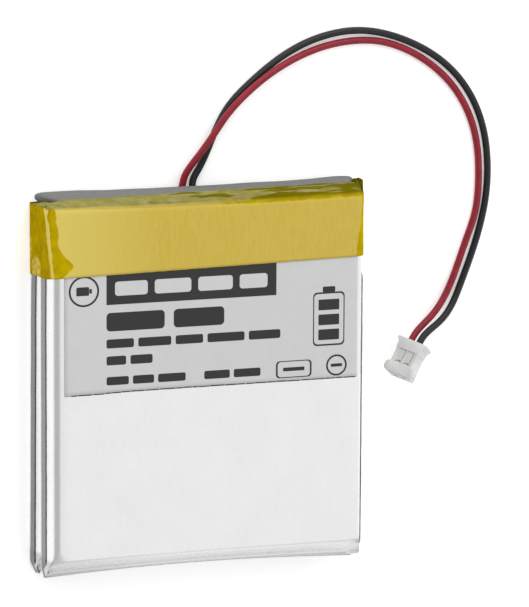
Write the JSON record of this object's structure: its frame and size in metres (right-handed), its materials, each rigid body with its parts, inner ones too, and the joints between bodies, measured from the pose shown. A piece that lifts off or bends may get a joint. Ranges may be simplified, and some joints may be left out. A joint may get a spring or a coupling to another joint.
{
  "type": "lithium polymer battery pack",
  "caption": "Flat two-cell pouch battery pack with a taped lead end, a printed label, red and black leads and a small white crimp connector.",
  "frame": {"origin": "on the surface that the pack rests on, under the middle of the pack without its leads and connector", "axes": "+X across the pack, +Y along the pack towards the lead end, +Z out of the label face"},
  "size_m": [0.078, 0.0867, 0.012],
  "materials": {
    "pouch_foil": "satin nylon-faced aluminium laminate",
    "electrodes": "matt dark grey coated foil under separator film",
    "aluminium_tab": "satin",
    "nickel": "satin nickel",
    "seal_film": "translucent polypropylene film",
    "bond_tape": "double-sided adhesive film",
    "board": "satin solder mask",
    "insulation_paper": "matt barley paper",
    "chip": "matt moulded epoxy",
    "capacitor": "matt ceramic",
    "solder": "bright tin",
    "foam": "matt closed-cell foam",
    "filler_foam": "matt closed-cell foam",
    "yellow_tape": "satin polyester adhesive tape",
    "label": "satin printed film",
    "lead_red": "satin PVC insulation",
    "lead_black": "satin PVC insulation",
    "nylon": "natural white moulded nylon",
    "tinned_bronze": "tin plate"
  },
  "bodies": {
    "root": {"rear_pouch_cup": "pouch_foil", "rear_pouch_back": "pouch_foil", "rear_electrode_stack": "electrodes", "rear_positive_tab": "aluminium_tab", "rear_negative_tab": "nickel", "rear_positive_tab_seal": "seal_film", "rear_negative_tab_seal": "seal_film", "front_pouch_cup": "pouch_foil", "front_pouch_back": "pouch_foil", "front_electrode_stack": "electrodes", "front_positive_tab": "aluminium_tab", "front_negative_tab": "nickel", "front_positive_tab_seal": "seal_film", "front_negative_tab_seal": "seal_film", "cell_bond_tape": "bond_tape", "protection_board": "board", "board_paper": "insulation_paper", "dual_mosfet": "chip", "protection_ic": "chip", "sense_resistor": "chip", "filter_capacitor": "capacitor", "positive_strap": "nickel", "negative_strap": "nickel", "solder_joint_red": "solder", "solder_joint_black": "solder", "lead_red_core": "solder", "lead_black_core": "solder", "foam_strip": "foam", "terrace_filler": "filler_foam", "tape_band": "yellow_tape", "front_label": "label", "lead_red": "lead_red", "lead_black": "lead_black", "connector_housing": "nylon", "crimp_contact_red": "tinned_bronze", "crimp_contact_black": "tinned_bronze"}
  },
  "joints": []
}
